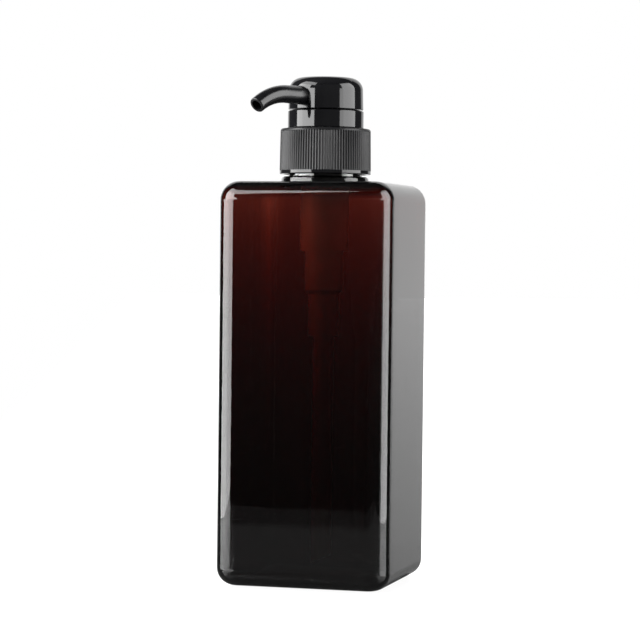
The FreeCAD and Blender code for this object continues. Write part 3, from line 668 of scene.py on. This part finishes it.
def place_along(tree, axis):
    """A socket with a surface's place along an axis of the scene."""
    point = tree.nodes.new("ShaderNodeNewGeometry")
    split = tree.nodes.new("ShaderNodeSeparateXYZ")
    tree.links.new(point.outputs["Position"], split.inputs[0])
    return split.outputs[axis]


def make_table_paint():
    """Polished top that looks white, with painted light seen in mirrors and through the bottle: a
    glow that grows with distance behind, and a faint glowing strip in front.
    """
    material = plain("table", TABLE_COLOUR, TABLE_ROUGHNESS, ior=TABLE_IOR)
    tree = material.node_tree
    shader = tree.nodes["Principled BSDF"]
    shader.inputs["Emission Color"].default_value = (*WHITE, 1.0)
    back = place_along(tree, "Y")
    behind = math_node(tree, "MAXIMUM", back, 0.0)
    share = math_node(tree, "DIVIDE", behind, math_node(tree, "ADD", behind, TABLE_GLOW_HALF_DISTANCE))
    # Painted light: a glowing strip in front of the bottle and a glow growing with distance behind,
    # for mirrored and transmitted rays only.
    rises = map_range(tree, back, TABLE_FRONT_RISES, (0.0, TABLE_GLOW_FRONT))
    falls = map_range(tree, back, TABLE_FRONT_FALLS, (1.0, 0.0))
    front = math_node(tree, "MULTIPLY", rises, falls)
    painted_glow = math_node(tree, "ADD", math_node(tree, "MULTIPLY", share, TABLE_GLOW_FAR), front)
    direct = math_node(tree, "MULTIPLY", seen_rays(tree, "Is Camera Ray"), TABLE_GLOW)
    indirect = seen_rays(tree, "Is Glossy Ray", "Is Transmission Ray")
    mirrored = math_node(tree, "MULTIPLY", indirect, painted_glow)
    tree.links.new(math_node(tree, "ADD", direct, mirrored), shader.inputs["Emission Strength"])
    return material


def stage_mesh(name, points, faces, material):
    """A piece of the studio."""
    mesh = bpy.data.meshes.new(name)
    mesh.from_pydata(points, [], faces)
    obj = bpy.data.objects.new(name, mesh)
    bpy.context.scene.collection.objects.link(obj)
    paint(obj, material)
    return obj


def make_floor():
    """A long table that widens behind the bottle, with its edges out of the picture."""
    right = [(TABLE_SIDE, TABLE_FRONT), (TABLE_SIDE, TABLE_FLARE_FROM)]
    right += [(TABLE_FLARE_SIDE, TABLE_BACK)]
    corners = right + [(-x, y) for x, y in right[::-1]]
    points = [(x, y, 0.0) for x, y in corners]
    stage_mesh("floor", points, [tuple(range(len(points)))], make_table_paint())


make_floor()


# Studio curtains and ceiling, which the camera does not see

CLOTH_COLOUR = (0.045, 0.045, 0.045)
CLOTH_ROUGHNESS = 0.9
# The front curtain's colour is painted light, paler towards the top, seen in the bottle as a
# reflection that brightens upwards.
CLOTH_FADE = (-0.3, 0.5)
CLOTH_PAINTED_LIGHT_LEVELS = (0.035, 0.22)
CURTAIN_STEPS = 24
CEILING_SIDE = 2.3
CEILING_FRONT = -2.3
CEILING_BACK = 1.6
CEILING_HEIGHT = 2.0


def round_place(azimuth, distance, height):
    """A place round the bottle. Azimuth is in degrees from the front towards the right."""
    angle = math.radians(azimuth)
    return Vector((distance * math.sin(angle), -distance * math.cos(angle), height))


def make_painted_light_cloth():
    """Dark cloth with painted light: its colour gets paler towards the top."""
    material = plain("curtain_cloth", CLOTH_COLOUR, CLOTH_ROUGHNESS)
    tree = material.node_tree
    shade = map_range(tree, place_along(tree, "Z"), CLOTH_FADE, CLOTH_PAINTED_LIGHT_LEVELS)
    tree.links.new(shade, tree.nodes["Principled BSDF"].inputs["Base Color"])
    return material


def make_curtain(name, material, first, last, low, high, radius):
    """An upright screen round part of the studio, between two azimuths and two heights."""
    points = []
    for i in range(CURTAIN_STEPS + 1):
        x, y, _ = round_place(first + (last - first) * i / CURTAIN_STEPS, radius, 0.0)
        points += [(x, y, low), (x, y, high)]
    faces = [(2 * i, 2 * i + 2, 2 * i + 3, 2 * i + 1) for i in range(CURTAIN_STEPS)]
    stage_mesh(name, points, faces, material).visible_camera = False


def make_ceiling(material):
    """A level screen over the studio."""
    corners = [(-CEILING_SIDE, CEILING_FRONT), (CEILING_SIDE, CEILING_FRONT)]
    corners += [(CEILING_SIDE, CEILING_BACK), (-CEILING_SIDE, CEILING_BACK)]
    points = [(x, y, CEILING_HEIGHT) for x, y in corners]
    stage_mesh("ceiling", points, [(0, 1, 2, 3)], material).visible_camera = False


dark_cloth = plain("dark_cloth", CLOTH_COLOUR, CLOTH_ROUGHNESS)
painted_light_cloth = make_painted_light_cloth()
make_curtain("front_curtain", painted_light_cloth, -60.0, 70.0, low=-1.0, high=2.2, radius=2.2)
make_curtain("right_curtain", dark_cloth, 115.0, 139.0, low=-0.4, high=1.6, radius=1.6)
make_curtain("right_curtain_high", dark_cloth, 138.0, 153.0, low=0.215, high=1.6, radius=1.6)
make_curtain("left_curtain", dark_cloth, -132.0, -80.0, low=-0.4, high=1.6, radius=1.6)
make_ceiling(dark_cloth)


# Studio light

WORLD_LEVEL = 0.45
LAMP_DISTANCE = 1.1


def make_world():
    """White where it is seen, mirrored or looked at through the bottle, and even grey otherwise."""
    world = bpy.data.worlds.new("studio")
    bpy.context.scene.world = world
    world.use_nodes = True
    tree = world.node_tree
    background = tree.nodes["Background"]
    seen = seen_rays(tree, "Is Camera Ray", "Is Glossy Ray", "Is Transmission Ray")
    strength = map_range(tree, seen, (0.0, 1.0), (WORLD_LEVEL, 1.0))
    tree.links.new(strength, background.inputs["Strength"])
    background.inputs["Color"].default_value = (*WHITE, 1.0)


def softbox(name, first, last, low, high, radiance):
    """An upright lamp panel that fills the bottle's view between two azimuths and two heights."""
    lamp = bpy.data.lights.new(name, "AREA")
    lamp.shape = "RECTANGLE"
    lamp.size = 2 * LAMP_DISTANCE * math.tan(math.radians(abs(last - first) / 2))
    lamp.size_y = high - low
    lamp.energy = radiance * math.pi * lamp.size * lamp.size_y
    obj = bpy.data.objects.new(name, lamp)
    bpy.context.scene.collection.objects.link(obj)
    obj.location = round_place((first + last) / 2, LAMP_DISTANCE, (low + high) / 2)
    aim = Vector((-obj.location.x, -obj.location.y, 0.0))
    obj.rotation_euler = aim.to_track_quat("-Z", "Y").to_euler()
    obj.visible_camera = False


make_world()
softbox("softbox_left", -97.0, -38.0, low=-0.12, high=0.2, radiance=6.2)
softbox("softbox_left_middle", -82.0, -20.0, low=0.193, high=0.38, radiance=8.5)
softbox("softbox_left_high", -86.0, -36.0, low=0.38, high=0.95, radiance=8.5)
softbox("softbox_left_top", -86.0, -21.6, low=0.95, high=1.8, radiance=5.5)
softbox("softbox_right", 76.0, 112.0, low=-0.12, high=0.2, radiance=4.7)
softbox("softbox_right_middle", 58.0, 115.0, low=0.193, high=0.36, radiance=4.5)
softbox("softbox_right_high", 66.0, 115.0, low=0.36, high=1.3, radiance=4.5)


# Camera

CAMERA_PLACE = Vector((0.25974, -0.94963, 0.12863))
CAMERA_AZIMUTH = math.radians(15.38)
CAMERA_PITCH = math.radians(-1.44)
CAMERA_ROLL = math.radians(0.64)
CAMERA_LENS = 138.74
CAMERA_SENSOR = 36.0
CAMERA_REACH = 50.0


def make_camera():
    """The camera at the photograph's place, given by its azimuth, pitch and roll."""
    data = bpy.data.cameras.new("camera")
    data.sensor_width = CAMERA_SENSOR
    data.lens = CAMERA_LENS
    data.clip_end = CAMERA_REACH
    camera = bpy.data.objects.new("camera", data)
    bpy.context.scene.collection.objects.link(camera)
    level = Vector((-math.sin(CAMERA_AZIMUTH), math.cos(CAMERA_AZIMUTH), 0.0))
    right = Vector((math.cos(CAMERA_AZIMUTH), math.sin(CAMERA_AZIMUTH), 0.0))
    ahead = level * math.cos(CAMERA_PITCH) + Vector((0.0, 0.0, math.sin(CAMERA_PITCH)))
    up = right.cross(ahead)
    rolled_right = right * math.cos(CAMERA_ROLL) + up * math.sin(CAMERA_ROLL)
    rolled_up = up * math.cos(CAMERA_ROLL) - right * math.sin(CAMERA_ROLL)
    turn = Matrix((rolled_right, rolled_up, -ahead)).transposed()
    camera.matrix_world = Matrix.Translation(CAMERA_PLACE) @ turn.to_4x4()
    bpy.context.scene.camera = camera


make_camera()
bpy.context.scene.view_settings.view_transform = "Standard"
